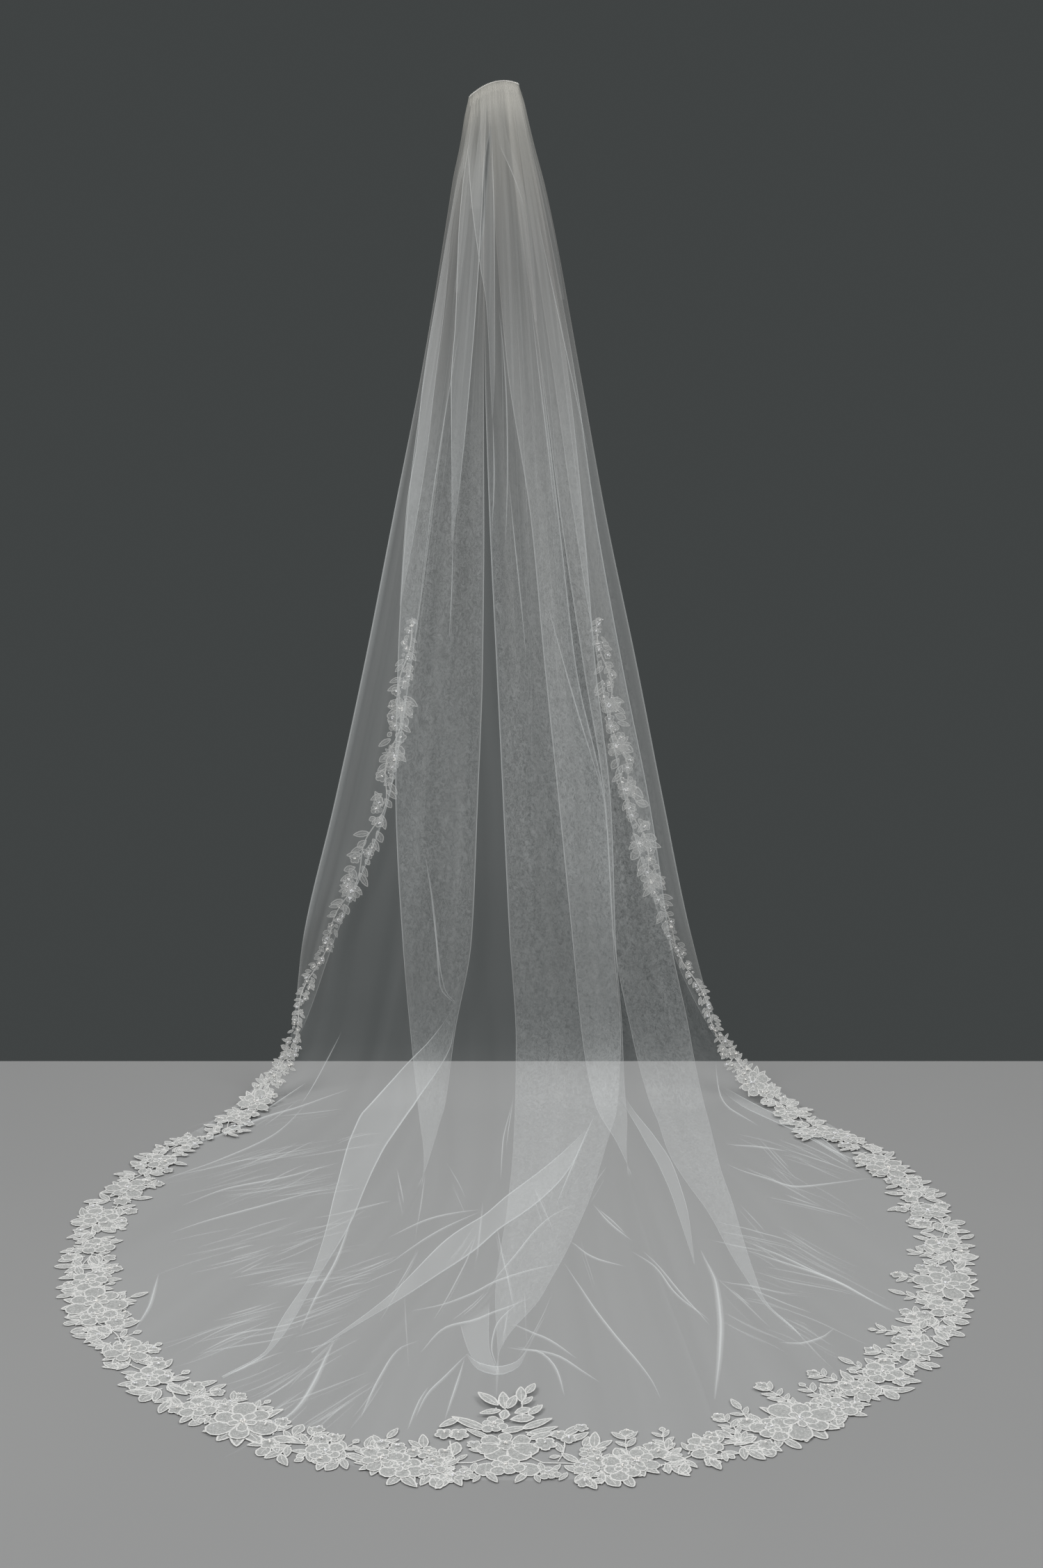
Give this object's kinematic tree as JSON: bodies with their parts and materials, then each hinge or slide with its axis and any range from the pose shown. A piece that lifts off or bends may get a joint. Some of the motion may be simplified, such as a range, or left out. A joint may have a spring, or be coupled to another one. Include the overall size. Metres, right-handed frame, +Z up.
{
  "type": "bridal veil",
  "caption": "Cathedral-length tulle bridal veil on a hair comb, falling in soft overlapping folds to a round train edged with scalloped corded floral lace.",
  "frame": {"origin": "on the hair comb, at the middle of its width, where the veil is pinned into the hair", "axes": "+Z up, +X to the right as seen from the front, +Y towards the wearer's side, so the train runs out along -Y on a floor 1.75 m below the origin"},
  "size_m": [1.4178, 1.3455, 1.7619],
  "materials": {
    "tulle": "fine sheer net, matt with a faint sheen",
    "lace": "dense corded embroidery with a soft sheen",
    "heading": "satin-bound thread over tight gathers",
    "comb_metal": "satin wire",
    "beads": "clear and pearl seed beads"
  },
  "bodies": {
    "root": {"comb": "comb_metal", "comb_binding": "heading", "gathered_heading": "heading", "tulle_veil": "tulle", "lace_left_upper": "lace", "lace_right_upper": "lace", "lace_left_middle": "lace", "lace_right_middle": "lace", "lace_left_lower": "lace", "lace_right_lower": "lace", "lace_left_turn": "lace", "lace_right_turn": "lace", "lace_left_corner": "lace", "lace_right_corner": "lace", "lace_train_1": "lace", "lace_train_2": "lace", "lace_train_3": "lace", "lace_train_4": "lace", "lace_train_5": "lace", "lace_train_6": "lace", "lace_train_7": "lace", "lace_train_8": "lace", "lace_train_9": "lace", "lace_medallion": "lace"}
  },
  "joints": []
}
